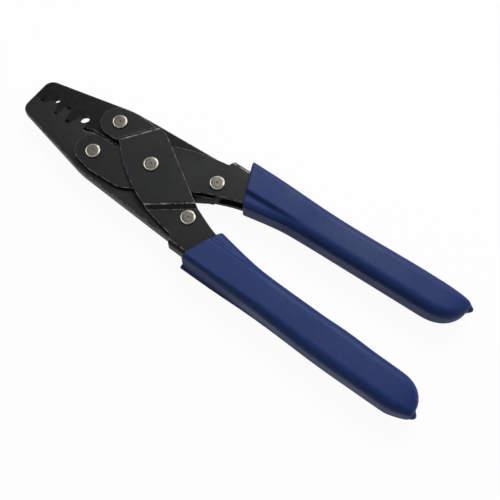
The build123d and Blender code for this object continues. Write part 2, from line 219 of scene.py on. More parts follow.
def moulded_vinyl(name, blue, deep, roughness):
    """Dip-moulded soft vinyl.  The eye sees a matt, dusty blue, softly mottled, with a fine
    orange-peel skin and slightly glossier patches where a hand has polished it."""
    made, tree = new_material(name)
    place = add(tree, "ShaderNodeTexCoord").outputs["Object"]
    polish = add(tree, "ShaderNodeTexNoise", {"Vector": place, "Scale": per_mm(22), "Detail": 3.0,
                                              "Roughness": 0.55}).outputs["Fac"]
    mottle = add(tree, "ShaderNodeTexNoise", {"Vector": place, "Scale": per_mm(2.5), "Detail": 5.0,
                                              "Roughness": 0.75}).outputs["Fac"]
    # orange peel of the mould, 0.7 mm, with a finer dust over it, 0.25 mm
    peel = add(tree, "ShaderNodeTexNoise", {"Vector": place, "Scale": per_mm(0.7), "Detail": 2.0,
                                            "Roughness": 0.6}).outputs["Fac"]
    dust = add(tree, "ShaderNodeTexNoise", {"Vector": place, "Scale": per_mm(0.25),
                                            "Detail": 1.0}).outputs["Fac"]
    tone = add(tree, "ShaderNodeMapRange", {"Value": mottle, "From Min": 0.3,
                                            "From Max": 0.7}).outputs["Result"]
    colour = add(tree, "ShaderNodeMix", {0: tone, 6: opaque(deep), 7: opaque(blue)},
                 data_type="RGBA").outputs[2]
    dull = add(tree, "ShaderNodeMapRange", {"Value": polish, "From Min": 0.3, "From Max": 0.7,
                                            "To Min": roughness - 0.06,
                                            "To Max": roughness + 0.08}).outputs["Result"]
    bumps = add(tree, "ShaderNodeMath", {0: dust, 1: 0.45, 2: peel}, operation="MULTIPLY_ADD").outputs[0]
    relief = add(tree, "ShaderNodeBump", {"Height": bumps, "Strength": 0.30,
                                          "Distance": 0.00010}).outputs["Normal"]
    skin = add(tree, "ShaderNodeBsdfPrincipled", {"Base Color": colour, "Roughness": dull, "Normal": relief,
                                                  "IOR": 1.53, "Specular IOR Level": 0.14})
    add(tree, "ShaderNodeOutputMaterial", {"Surface": skin.outputs[0]})
    return made


def studio_paper(name, white, keep):
    """Seamless white paper: plain and pale, and it still takes a faint shadow."""
    made, tree = new_material(name)
    place = add(tree, "ShaderNodeTexCoord").outputs["Object"]
    fibre = add(tree, "ShaderNodeTexNoise", {"Vector": place, "Scale": per_mm(30),
                                             "Detail": 2.0}).outputs["Fac"]
    tone = add(tree, "ShaderNodeMapRange", {"Value": fibre, "To Min": 0.98, "To Max": 1.0}).outputs["Result"]
    colour = add(tree, "ShaderNodeMix", {0: tone, 6: opaque([0.8 * c for c in white]), 7: opaque(white)},
                 data_type="RGBA").outputs[2]
    paper = add(tree, "ShaderNodeBsdfDiffuse", {"Color": colour})
    glow = add(tree, "ShaderNodeEmission", {"Color": (1.0, 1.0, 1.0, 1.0), "Strength": 1.0})
    share = add(tree, "ShaderNodeMath", {0: direct_sight(tree), 1: 1.0 - keep},
                operation="MULTIPLY").outputs[0]
    mixed = add(tree, "ShaderNodeMixShader", {0: share, 1: paper.outputs[0], 2: glow.outputs[0]})
    add(tree, "ShaderNodeOutputMaterial", {"Surface": mixed.outputs[0]})
    return made


# ---------------------------------------------------------------- meshes
def new_piece(name, mesh, body, stands_for, materials):
    """A finished piece: named, given its materials, riding its lever and standing for its nodes."""
    piece = bpy.data.objects.new(name, mesh)
    bpy.context.scene.collection.objects.link(piece)
    for material in materials:
        piece.data.materials.append(material)
    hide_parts(*stands_for)
    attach(piece, body)
    return piece


def outward(shape):
    """Turns a closed shell's faces outwards if it was wound inside out."""
    if shape.calc_volume(signed=True) < 0:
        bmesh.ops.reverse_faces(shape, faces=shape.faces[:])


WELD = 0.02 * MM         # points nearer than this are one point, and a skin this near is met
FLAT_DEG = 0.4           # facets nearer to flat than this are joined
SMOOTH_DEG = 28          # facets turn smoothly into each other up to this
# faces whose normal's upward share lies in this band take slot 1, as a painted highlight along the bend
BEND_HIGHLIGHT_TILT = (0.86, 0.98)                             # upward share of the normal along a bend in the sheet


def soften_edges(node, width, sharp_deg, left_sharp):
    """A copy of a CAD piece with its outer edges broken; the breaks take slot 1, and the bends take it too,
    as a painted highlight along their middles.

    left_sharp says of a place, in millimetres, whether edges there are left as they were cut.
    """
    shape = bmesh.new()
    shape.from_mesh(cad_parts[node].data)
    bmesh.ops.remove_doubles(shape, verts=shape.verts[:], dist=WELD)
    bmesh.ops.dissolve_limit(shape, angle_limit=math.radians(FLAT_DEG), verts=shape.verts[:],
                             edges=shape.edges[:])
    edges = [e for e in shape.edges if len(e.link_faces) == 2 and e.is_convex
             and e.calc_face_angle(0.0) > math.radians(sharp_deg)
             and not left_sharp((e.verts[0].co + e.verts[1].co) / 2 / MM)]
    skin = BVHTree.FromBMesh(shape)
    # the profile counts even with one segment: it shapes the corners where broken edges meet
    bmesh.ops.bevel(shape, geom=edges, offset=width, offset_type="OFFSET", segments=1, profile=0.5,
                    affect="EDGES", clamp_overlap=False, material=1)
    for vert in shape.verts:        # a corner too tight for the width is drawn back onto the piece
        nearest, _, _, away = skin.find_nearest(vert.co)
        if away > WELD:
            vert.co = nearest
    bmesh.ops.triangulate(shape, faces=[f for f in shape.faces if len(f.verts) > 4])
    shape.normal_update()
    for edge in shape.edges:
        slots = {face.material_index for face in edge.link_faces}
        edge.smooth = len(slots) == 1 and edge.calc_face_angle(0.0) < math.radians(SMOOTH_DEG)
    for face in shape.faces:
        face.smooth = True
        # bends in the sheet take slot 1 along their middles as well: a painted highlight, placed by the tilt
        # of the faces
        if BEND_HIGHLIGHT_TILT[0] < abs(face.normal.z) < BEND_HIGHLIGHT_TILT[1]:
            face.material_index = 1
    mesh = bpy.data.meshes.new(node + "_softened")
    shape.to_mesh(mesh)
    shape.free()
    return mesh


# ---------------------------------------------------------------- turned fittings
RIVET_RINGS = (          # (radius, height beyond the seat) in named sizes, from the upper face's middle
    ({}, {"Head height": 1, "Mark depth": -1}),
    ({"Mark radius": 0.45}, {"Head height": 1, "Mark depth": -0.75}),
    ({"Mark radius": 1}, {"Head height": 1}),
    ({"Head radius": 0.5}, {"Head height": 1}),
    ({"Head radius": 1, "Chamfer": -1.45}, {"Head height": 1}),
    ({"Head radius": 1, "Chamfer": -1.15}, {"Head height": 1, "Chamfer": -0.10}),
    ({"Head radius": 1, "Chamfer": -0.85}, {"Head height": 1}),
    ({"Head radius": 1, "Chamfer": -0.45}, {"Head height": 1, "Chamfer": -0.12}),
    ({"Head radius": 1, "Chamfer": -0.10}, {"Head height": 1, "Chamfer": -0.60}),
    ({"Head radius": 1}, {"Head height": 1, "Chamfer": -1.1}),
    ({"Head radius": 1}, {"Chamfer": 0.15}),
    ({"Head radius": 1, "Chamfer": -0.15}, {}),
    ({"Shank radius": 1}, {}),
)


def turned_tree(name, sizes, rings):
    """A node tree that turns a ringed profile, top and bottom alike, and sets it at every pivot.

    rings are half a profile, from the top down to the seat; the other half mirrors it.
    """
    tree = bpy.data.node_groups.new(name, "GeometryNodeTree")
    face = tree.interface
    face.new_socket("Geometry", in_out="INPUT", socket_type="NodeSocketGeometry")
    for size, default in sizes.items():
        face.new_socket(size, in_out="INPUT", socket_type="NodeSocketFloat").default_value = default
    face.new_socket("Facets", in_out="INPUT", socket_type="NodeSocketInt").default_value = 72
    for item in ("First rim ring", "Last rim ring"):
        face.new_socket(item, in_out="INPUT", socket_type="NodeSocketInt")
    face.new_socket("Face material", in_out="INPUT", socket_type="NodeSocketMaterial")
    face.new_socket("Rim material", in_out="INPUT", socket_type="NodeSocketMaterial")
    face.new_socket("Geometry", in_out="OUTPUT", socket_type="NodeSocketGeometry")
    given = add(tree, "NodeGroupInput").outputs

    def total(terms):
        running = 0.0
        for size, share in terms.items():
            running = add(tree, "ShaderNodeMath", {0: given[size], 1: float(share), 2: running},
                          operation="MULTIPLY_ADD").outputs[0]
        return running

    index = add(tree, "GeometryNodeInputIndex").outputs[0]
    facets = add(tree, "ShaderNodeMath", {0: given["Facets"], 1: 1.0}, operation="ADD").outputs[0]
    row = add(tree, "ShaderNodeMath", {0: index, 1: facets}, operation="DIVIDE").outputs[0]
    row = add(tree, "ShaderNodeMath", {0: row}, operation="FLOOR").outputs[0]
    column = add(tree, "ShaderNodeMath", {0: index, 1: facets}, operation="FLOORED_MODULO").outputs[0]
    angle = add(tree, "ShaderNodeMath", {0: column, 1: 2 * math.pi}, operation="MULTIPLY").outputs[0]
    angle = add(tree, "ShaderNodeMath", {0: angle, 1: given["Facets"]}, operation="DIVIDE").outputs[0]
    choice = add(tree, "GeometryNodeIndexSwitch", {"Index": row}, data_type="VECTOR")
    while len(choice.index_switch_items) < 2 * len(rings):
        choice.index_switch_items.new()
    for half, order in ((1, rings), (-1, tuple(reversed(rings)))):
        for i, (radius, height) in enumerate(order):
            at = i + (len(rings) if half < 0 else 0)
            up = total(height)
            if half < 0:
                up = add(tree, "ShaderNodeMath", {0: up, 1: -1.0}, operation="MULTIPLY").outputs[0]
            spot = add(tree, "ShaderNodeCombineXYZ", {"X": total(radius), "Y": float(half),
                                                      "Z": up}).outputs[0]
            tree.links.new(spot, choice.inputs[1 + at])
    ring = add(tree, "ShaderNodeSeparateXYZ", {0: choice.outputs[0]}).outputs
    cosine = add(tree, "ShaderNodeMath", {0: angle}, operation="COSINE").outputs[0]
    sine = add(tree, "ShaderNodeMath", {0: angle}, operation="SINE").outputs[0]
    x = add(tree, "ShaderNodeMath", {0: ring["X"], 1: cosine}, operation="MULTIPLY").outputs[0]
    y = add(tree, "ShaderNodeMath", {0: ring["X"], 1: sine}, operation="MULTIPLY").outputs[0]
    round_place = add(tree, "ShaderNodeCombineXYZ", {"X": x, "Y": y, "Z": ring["Z"]}).outputs[0]
    sheet = add(tree, "GeometryNodeMeshGrid", {"Vertices X": 2 * len(rings),
                                               "Vertices Y": facets}).outputs["Mesh"]
    halved = add(tree, "GeometryNodeStoreNamedAttribute",
                 {"Geometry": sheet, "Name": "half", "Value": ring["Y"]},
                 data_type="FLOAT", domain="POINT").outputs["Geometry"]
    # faces run in bands between rings; a rim band lies the same count of bands from either end
    band = add(tree, "ShaderNodeMath", {0: index, 1: given["Facets"]}, operation="DIVIDE").outputs[0]
    band = add(tree, "ShaderNodeMath", {0: band}, operation="FLOOR").outputs[0]
    far_band = add(tree, "ShaderNodeMath", {0: 2.0 * len(rings) - 2.0, 1: band},
                   operation="SUBTRACT").outputs[0]
    near = add(tree, "ShaderNodeMath", {0: band, 1: far_band}, operation="MINIMUM").outputs[0]
    past = add(tree, "FunctionNodeCompare", {0: near, 1: given["First rim ring"]},
               data_type="FLOAT", operation="GREATER_EQUAL").outputs[0]
    before = add(tree, "FunctionNodeCompare", {0: near, 1: given["Last rim ring"]},
                 data_type="FLOAT", operation="LESS_EQUAL").outputs[0]
    on_rim = add(tree, "FunctionNodeBooleanMath", {0: past, 1: before}, operation="AND").outputs[0]
    banded = add(tree, "GeometryNodeStoreNamedAttribute",
                 {"Geometry": halved, "Name": "rim", "Value": on_rim},
                 data_type="BOOLEAN", domain="FACE").outputs["Geometry"]
    turned = add(tree, "GeometryNodeSetPosition", {"Geometry": banded,
                                                   "Position": round_place}).outputs["Geometry"]
    placed = add(tree, "GeometryNodeInstanceOnPoints", {"Points": given["Geometry"],
                                                        "Instance": turned}).outputs["Instances"]
    real = add(tree, "GeometryNodeRealizeInstances", {"Geometry": placed}).outputs["Geometry"]
    seat = add(tree, "GeometryNodeInputNamedAttribute", {"Name": "seat"},
               data_type="FLOAT").outputs["Attribute"]
    half = add(tree, "GeometryNodeInputNamedAttribute", {"Name": "half"},
               data_type="FLOAT").outputs["Attribute"]
    lift = add(tree, "ShaderNodeMath", {0: seat, 1: half}, operation="MULTIPLY").outputs[0]
    offset = add(tree, "ShaderNodeCombineXYZ", {"Z": lift}).outputs[0]
    seated = add(tree, "GeometryNodeSetPosition", {"Geometry": real, "Offset": offset}).outputs["Geometry"]
    closed = add(tree, "GeometryNodeMergeByDistance", {"Geometry": seated,
                                                       "Distance": 0.000001}).outputs["Geometry"]
    faced = add(tree, "GeometryNodeSetMaterial", {"Geometry": closed, "Material": given["Face material"]})
    rim = add(tree, "GeometryNodeInputNamedAttribute", {"Name": "rim"},
              data_type="BOOLEAN").outputs["Attribute"]
    rimmed = add(tree, "GeometryNodeSetMaterial", {"Geometry": faced.outputs["Geometry"], "Selection": rim,
                                                   "Material": given["Rim material"]})
    add(tree, "NodeGroupOutput", {"Geometry": rimmed.outputs["Geometry"]})
    return tree


def turned_mesh(name, tree, places, values, sharp_deg):
    """The tree's plain mesh for fittings at places, each (x, y, seat height above the middle)."""
    points = bpy.data.meshes.new(name + "_places")
    points.from_pydata([(x, y, MIDDLE_Z) for x, y, _ in places], [], [])
    seat = points.attributes.new("seat", "FLOAT", "POINT")
    for i, (_, _, height) in enumerate(places):
        seat.data[i].value = height
    carrier = bpy.data.objects.new(name + "_carrier", points)
    bpy.context.scene.collection.objects.link(carrier)
    maker = carrier.modifiers.new("Turned", "NODES")
    maker.node_group = tree
    for item in tree.interface.items_tree:
        if item.in_out == "INPUT" and item.name in values:
            maker[item.identifier] = values[item.name]
    ready = carrier.evaluated_get(bpy.context.evaluated_depsgraph_get())
    mesh = bpy.data.meshes.new_from_object(ready)
    carrier.modifiers.clear()
    bpy.data.objects.remove(carrier)
    shape = bmesh.new()
    shape.from_mesh(mesh)
    if not shape.faces or any(not e.is_manifold for e in shape.edges):
        raise RuntimeError(name + " did not come out as closed fittings")
    outward(shape)
    shape.to_mesh(mesh)
    shape.free()
    mesh.shade_smooth()
    mesh.set_sharp_from_angle(angle=math.radians(sharp_deg))
    for kept in ("seat", "half", "rim"):
        if kept in mesh.attributes:
            mesh.attributes.remove(mesh.attributes[kept])
    mesh.name = name
    return mesh


def pivot_of(node):
    """Where a fitting's axis stands."""
    low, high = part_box(node)
    return (low.x + high.x) / 2, (low.y + high.y) / 2


# ---------------------------------------------------------------- sleeves
def ease(value, low, high):
    """0 below low, 1 above high, and smooth between."""
    t = min(max((value - low) / (high - low), 0.0), 1.0)
    return t * t * (3 - 2 * t)


def dip(x, middle, reach, depth):
    """A shallow hollow with soft ends: its depth at x."""
    t = (x - middle) / reach
    return depth * (1 - t * t) ** 2 if abs(t) < 1 else 0.0


SLEEVES_MM = {           # x along the tool, y out from its middle line on the upper handle's side
    "upper": {
        "spine_front": 29.6,                         # spine side at the mouth
        "full_x": 148.0,                             # where the spine side comes out to the full width
        "palm_hollow": (90.0, 40.0, 0.8),            # in the spine side: middle, half length, depth
        "end_fall": (147.0, 160.0, 0.0),             # of the spine side: start, end, how far
        "waist": (66.5, 12.2, 5.0),                  # bend of the open side: x, y, length of its rounding
        "open_slopes": (0.18, 0.03),                 # of the open side, ahead of the waist and behind it
        "finger_hollow": (118.0, 14.0, 0.0),         # in the open side
        "roll_fade": (44.0, 96.0),                   # where the roll along the spine dies out
        "mouth": (36.4, -0.455),                     # where it meets the spine side, and its slant
        "crease": (15.1, 0.045),                     # y at x = 40, and slope
        "crease_fade": (50, 78),
        "end": (153.7, 15.4, 28.4, 155.7),           # end face, length of its curve, nub's middle, nub's tip
    },
    "lower": {
        "spine_front": 29.5,
        "full_x": 120.0,
        "palm_hollow": (84.0, 30.0, 0.45),
        "end_fall": (147.0, 160.0, 2.1),
        "waist": (70.0, 12.0, 7.0),
        "open_slopes": (0.175, 0.025),
        "finger_hollow": (118.0, 14.0, 0.35),
        "roll_fade": (44.0, 112.0),
        "mouth": (38.3, -0.37),
        "crease": (14.4, 0.02),
        "crease_fade": (52, 80),
        "end": (158.3, 12.3, 26.0, 159.95),
    },
}
SLEEVE_ROLL_MM = 1.5     # how far the spine's long edge stands out beyond the wall below it
CREASE_START_MM = 40.0
SPINE_Y_MM, OPEN_Y_MM = 30.0, 12.0                   # where the two sides' lines are read
SQUARE_X_MM = 74.0       # the slant of the mouth has died out here
FULL_ROLL_X_MM = 84.0    # and the long edges' rolls are full here
RING_COUNTS = (9, 10, 30)                            # points along a side, round a corner and over the top
NUB_FOOT_MM = 2.6        # radius that the nub rises from
PLEAT_PITCH_MM = 3.1
CROWN_MM = 0.12          # how much lower the flat's two edges lie than its middle
END_CURVES = (0.45, 0.75)                            # powers by which the end closes, spine and open side
CORNER_SHARE = 0.28      # of the width, at most, for a corner's radius
SPINE_BAND_MM = (5.0, 0.5)                           # in from the spine side, where roll and pleats fade in
ROLL_STEP_MM = (3.4, 4.9)                            # heights between which the wall comes out to the roll
PLEAT_FADE_MM = (46.0, 88.0)                         # x over which the pleats die out
PLEAT_TOP_MM = (4.5, 6.5)                            # heights over which they do
CREASE_STEP_MM = (-0.3, 1.5)                         # the strip drops over this, across the crease
FLAT_FROM_MM = 3.0       # height from which a point counts as part of the flat
CHANNEL_HALF_MM = 4.65   # middle plane to the outside of the folded handle
CHANNEL_RADII_MM = (1.9, 0.12)                       # the hollow's corners, at the spine and at the open side
CHANNEL_READ_END_MM = 148.6                          # the spine is read no further back than this
CHANNEL_SPINE_READ_MM = (26.5, 60.0, 0.0)            # y of the place, and y and z of the ray's start
CHANNEL_OPEN_READ_MM = (10.0, 0.5, 3.75)             # the same for the open side
FULL_WIDTH_MM = CAD_BOX[1].y / MM - 0.07             # just inside the CAD's own width


class Sleeve:
    """One vinyl sleeve, worked out on the upper handle's side, in millimetres from the middle plane."""

    def __init__(self, side, settings):
        self.shape = SLEEVES_MM[side]
        self.turn = TURN[side]
        self.mouth_x, self.mouth_slant = self.shape["mouth"]
        self.end_x, self.end_run, self.nub_y, self.nub_tip = self.shape["end"]
        self.half_height = (CAD_BOX[1].z - CAD_BOX[0].z) / 2 / MM
        self.fit = settings.fit / MM
        self.crease_depth = settings.crease_depth / MM
        self.edge_radius = settings.edge_radius / MM
        self.mouth_radius = settings.mouth_radius / MM
        self.pleat = settings.pleat_height / MM
        self.lip = settings.lip / MM
        mesh = bmesh.new()
        mesh.from_mesh(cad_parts[side + "_handle"].data)
        self.handle = BVHTree.FromBMesh(mesh)
        mesh.free()

    def place(self, x, y, z):
        """A point on this sleeve, in metres in the tool's own place."""
        return (x * MM, self.turn * y * MM, MIDDLE_Z + self.turn * z * MM)

    def handle_edge(self, x, start_y, z, direction):
        """Where the handle begins, going from start_y towards or away from the middle line."""
        origin = Vector(self.place(x, start_y, z))
        hit = self.handle.ray_cast(origin, Vector((0, self.turn * direction, 0)))[0]
        if hit is None:
            raise RuntimeError("the sleeve found no handle to follow")
        return abs(hit.y) / MM

    def spine_side(self, x):
        """Spine side: straight out to the full width, less the palm's hollow and the end's fall."""
        share = min((x - self.mouth_x) / (self.shape["full_x"] - self.mouth_x), 1.0)
        line = self.shape["spine_front"] + (FULL_WIDTH_MM - self.shape["spine_front"]) * share
        start, stop, fall = self.shape["end_fall"]
        return line - dip(x, *self.shape["palm_hollow"]) - fall * ease(x, start, stop)

    def side_wall(self, x):
        """The wall under the spine's long edge, which rolls over it near the mouth."""
        return self.spine_side(x) - SLEEVE_ROLL_MM * (1 - ease(x, *self.shape["roll_fade"]))

    def open_side(self, x):
        """Open side: two straights drawn into each other at the waist, less the fingers' hollow."""
        waist_x, waist_y, rounding = self.shape["waist"]
        front, rear = self.shape["open_slopes"]
        run = x - waist_x
        line = waist_y + (front + rear) / 2 * run - (front - rear) / 2 * math.hypot(run, rounding)
        return line - dip(x, *self.shape["finger_hollow"])

    def crease(self, x):
        """Line between the flat of the sleeve and the lower strip along its open side."""
        start, slope = self.shape["crease"]
        return start + slope * (x - CREASE_START_MM)

    def station(self, along, y):
        """x of a point y out on the cross-section that belongs to this place along the sleeve."""
        mouth = self.mouth_x + (y - SPINE_Y_MM) * self.mouth_slant
        if along >= SQUARE_X_MM:
            return along
        t = (along - self.mouth_x) / (SQUARE_X_MM - self.mouth_x)
        return mouth + t * (SQUARE_X_MM - mouth)

    def ring(self, low_y, high_y, half, radii, counts):
        """A rounded rectangle, from the spine side's middle over the top: points (y, z)."""
        out_r, in_r = radii
        side, corner, top = counts
        points = []
        run = half - out_r
        for i in range(side):
            points.append((high_y, run * i / side))
        for i in range(corner):
            a = math.pi / 2 * i / corner
            points.append((high_y - out_r + out_r * math.cos(a), half - out_r + out_r * math.sin(a)))
        for i in range(top):
            y = high_y - out_r + (low_y + in_r - high_y + out_r) * i / top
            points.append((y, half))
        for i in range(corner):
            a = math.pi / 2 + math.pi / 2 * i / corner
            points.append((low_y + in_r + in_r * math.cos(a), half - in_r + in_r * math.sin(a)))
        run = half - in_r
        for i in range(side):
            points.append((low_y, run * (1 - i / side)))
        quarter = points[1:] + [(low_y, 0.0)]
        return points + [(low_y, 0.0)] + [(y, -z) for y, z in reversed(quarter[:-1])]

    def outside(self, along, shrink):
        """The sleeve's outside at one place along it; shrink is the cosine of the end's turn."""
        at_spine = self.station(along, SPINE_Y_MM)
        at_open = self.station(along, OPEN_Y_MM)
        high, low = self.spine_side(at_spine), self.open_side(at_open)
        wall = self.side_wall(at_spine)
        full = ease(along, self.mouth_x, FULL_ROLL_X_MM)
        radius = self.mouth_radius + (self.edge_radius - self.mouth_radius) * full
        if shrink < 1:
            high = self.nub_y + (high - self.nub_y) * shrink ** END_CURVES[0]
            wall = self.nub_y + (wall - self.nub_y) * shrink ** END_CURVES[0]
            low = self.nub_y + (low - self.nub_y) * shrink ** END_CURVES[1]
        half = self.half_height * max(shrink, 1e-6) ** 0.5
        limit = min(half, (high - low) / 2)
        radii = (min(radius, CORNER_SHARE * (high - low), limit), min(radius * 1.05, limit * 0.95))
        points = []
        drop = self.crease_depth * (1 - ease(along, *self.shape["crease_fade"]))
        line = self.crease(at_open)
        for y, z in self.ring(low, high, half, radii, RING_COUNTS):
            # one long edge stands out to the full width, and the wall steps in below it
            near_spine = ease(y, high - SPINE_BAND_MM[0], high - SPINE_BAND_MM[1])
            y -= (high - wall) * near_spine * (1 - ease(z, *ROLL_STEP_MM))
            # fine pleats along the spine side, where the vinyl was drawn round the fold
            fade = 1 - ease(along, *PLEAT_FADE_MM)
            wave = math.cos(2 * math.pi * z / PLEAT_PITCH_MM)
            y += self.pleat * fade * near_spine * wave * (1 - ease(abs(z), *PLEAT_TOP_MM))
            # the strip beyond the crease lies lower than the flat of the sleeve
            y_share = ease(line - y, *CREASE_STEP_MM)
            z -= math.copysign(1.0, z) * drop * y_share * ease(abs(z), FLAT_FROM_MM, half)
            # a slight crown across the flat
            middle = (high + low) / 2
            across = (y - middle) / (high - low) * 2
            z -= math.copysign(1.0, z) * CROWN_MM * ease(abs(z), FLAT_FROM_MM, half) * across ** 2
            x = self.station(along, y)
            points.append([x, y, z])
        return points

    def inside(self, along):
        """The sleeve's inside at one place along it, clear of the handle all round."""
        read_y, *start = CHANNEL_SPINE_READ_MM
        high = self.handle_edge(min(self.station(along, read_y), CHANNEL_READ_END_MM), *start, -1) + self.fit
        read_y, *start = CHANNEL_OPEN_READ_MM
        low = self.handle_edge(self.station(along, read_y), *start, 1) - self.fit
        half = CHANNEL_HALF_MM + self.fit
        points = []
        for y, z in self.ring(low, high, half, CHANNEL_RADII_MM, RING_COUNTS):
            points.append([self.station(along, y), y, z])
        return points

    def rings(self):
        """Every ring of the sleeve, from the nub over the outside to the mouth and in to its end."""
        made = []
        # the nub and the rounded end
        shares = [0.012, 0.03, 0.055, 0.085, 0.12, 0.16, 0.21, 0.27, 0.34, 0.42, 0.5, 0.58, 0.66, 0.74,
                  0.81, 0.87, 0.92, 0.96, 0.985]
        start = self.end_x - self.end_run
        for share in shares:
            along = start + self.end_run * math.sqrt(1 - share * share)
            points = self.outside(along, share)
            for p in points:
                r = math.hypot(p[1] - self.nub_y, p[2])
                t = min(r / NUB_FOOT_MM, 1.0)
                p[0] += (self.nub_tip - self.end_x) * (1 - t * t) ** 1.5
            made.append(points)
        # the long outside, closer together at the mouth
        places = [start - 0.5 * i for i in range(1, 5)]
        while places[-1] > SQUARE_X_MM + 2.2:
            places.append(places[-1] - 2.2)
        reach = places[-1] - self.mouth_x
        for i in range(1, 31):
            places.append(self.mouth_x + reach * (1 - i / 30) ** 1.15)
        for along in places[:-1]:
            made.append(self.outside(along, 1.0))
        # the rounded lip
        rim_out = self.outside(self.mouth_x + self.lip, 1.0)
        rim_in = self.inside(self.mouth_x + self.lip)
        made = made[:-1] if made[-1][0][0] < rim_out[0][0] + 0.2 else made
        for i in range(0, 7):
            a = math.pi * i / 6
            out_share = (1 + math.cos(a)) / 2
            made.append([[o[0] * out_share + n[0] * (1 - out_share) - self.lip * math.sin(a),
                          o[1] * out_share + n[1] * (1 - out_share),
                          o[2] * out_share + n[2] * (1 - out_share)] for o, n in zip(rim_out, rim_in)])
        # the hollow, in to where the handle ends
        deep = [self.mouth_x + self.lip + 1.5 + (SQUARE_X_MM - self.mouth_x) * (i / 14) for i in range(0, 14)]
        deep += [SQUARE_X_MM + 4.0 * i for i in range(1, 17)]
        deep += [142.5, 144.5, 146.2, 147.6, 148.7, 149.5, 150.05, 150.35, 150.47]
        for along in deep:
            made.append(self.inside(along))
        return made

    def mesh(self, name):
        """The sleeve as one closed mesh."""
        shape = bmesh.new()
        rings = [[shape.verts.new(self.place(*p)) for p in ring] for ring in self.rings()]
        count = len(rings[0])
        for before, after in zip(rings, rings[1:]):
            for i in range(count):
                shape.faces.new((before[i], before[(i + 1) % count], after[(i + 1) % count], after[i]))
        tip = shape.verts.new(self.place(self.nub_tip, self.nub_y, 0.0))
        last = rings[-1]
        middle = sum((v.co for v in last), Vector()) / count
        floor = shape.verts.new(middle + Vector((0.15 * MM, 0, 0)))
        for i in range(count):
            shape.faces.new((tip, rings[0][(i + 1) % count], rings[0][i]))
            shape.faces.new((floor, last[i], last[(i + 1) % count]))
        outward(shape)
        made = bpy.data.meshes.new(name)
        shape.to_mesh(made)
        shape.free()
        made.shade_smooth()
        made.set_sharp_from_angle(angle=math.radians(50))
        return made


# ---------------------------------------------------------------- settings
def colour_setting(name, description, code):
    """A colour that the panel shows, from sRGB hex."""
    return bpy.props.FloatVectorProperty(name=name, description=description, subtype="COLOR", size=3,
                                         min=0, max=1, default=linear(code))


def length_setting(name, description, default):
    """A small length that the panel shows, in metres."""
    return bpy.props.FloatProperty(name=name, description=description, default=default,
                                   unit="LENGTH", precision=5)


class CRIMPER_PG_steel(bpy.types.PropertyGroup):
    """Finish of the oxided handles and jaws."""

    handle_black: colour_setting("Handle black", "Oxided sheet of the handles", "#0f1113")
    handle_rubbed: colour_setting("Handle rubbed", "Oxide rubbed thin on the flats", "#201f1d")
    jaw_black: colour_setting("Jaw black", "Oxided plate of the jaws", "#101010")
    upper_jaw_black: colour_setting("Upper jaw black", "Deeper oxide of the upper jaw", "#08080a")
    dies_end: bpy.props.FloatProperty(
        name="Dies end", description="How far ahead of the centre pivot the dies end", default=0.041,
        min=0.02, max=0.06, unit="LENGTH", precision=4)
    jaw_rubbed: colour_setting("Jaw rubbed", "Oxide rubbed thin on the jaws", "#232220")
    edge_and_bend_highlight_grey: colour_setting("Edge grey", "Edges where the oxide has worn through", "#8a877e")
    handle_edge: bpy.props.FloatProperty(
        name="Handle edge", description="Width of the break along the handles' edges", default=0.00027,
        min=0.00005, max=0.0005, unit="LENGTH", precision=5)
    jaw_edge: bpy.props.FloatProperty(
        name="Jaw edge", description="Width of the break along the jaws' edges", default=0.00020,
        min=0.00005, max=0.0005, unit="LENGTH", precision=5)


class CRIMPER_PG_fittings(bpy.types.PropertyGroup):
    """Sizes and finish of the rivets and bushes."""

    head_radius: bpy.props.FloatProperty(
        name="Head radius", description="Outside radius of a rivet head", unit="LENGTH", precision=5,
        default=(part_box("centre_rivet")[1].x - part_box("centre_rivet")[0].x) / 2)
    head_height: length_setting("Head height", "How far a head stands off its arm", 0.0009)
    chamfer: length_setting("Chamfer", "Width of the bright rim of a head", 0.00052)
    mark_radius: length_setting("Mark radius", "Radius of the punch mark in a head", 0.00055)
    mark_depth: length_setting("Mark depth", "Depth of the punch mark", 0.00022)
    shank_radius: length_setting("Shank radius", "Radius of the rivet between its heads", 0.0022)
    steel: colour_setting("Rivet steel", "Dull face of a rivet", "#403e3a")
    steel_clean: colour_setting("Rivet clean", "Cleaner metal on a rivet's face", "#504d47")
    rim: colour_setting("Rim", "Rubbed rim of a rivet", "#6e6b62")
    rim_clean: colour_setting("Rim bright", "Brightest of the rim", "#9a978d")
    bush: colour_setting("Bush steel", "Turned steel of the bushes", "#7f7e7b")


class CRIMPER_PG_grips(bpy.types.PropertyGroup):
    """Sizes and colour of the vinyl sleeves."""

    blue: colour_setting("Blue", "Vinyl on the flats", "#1d336a")
    deep_blue: colour_setting("Deep blue", "Vinyl in its darker mottling", "#162957")
    fit: length_setting("Fit", "Clearance of the sleeve round the handle", 0.00012)
    edge_radius: length_setting("Edge radius", "Roll of the long edges along the grip", 0.0043)
    mouth_radius: length_setting("Mouth radius", "Roll of the long edges at the mouth", 0.0028)
    crease_depth: length_setting("Crease depth", "Drop beyond the crease at the mouth", 0.00176)
    pleat_height: length_setting("Pleat height", "Height of the pleats along the spine side", 0.00018)
    lip: length_setting("Lip", "Round of the mouth's rim", 0.0007)


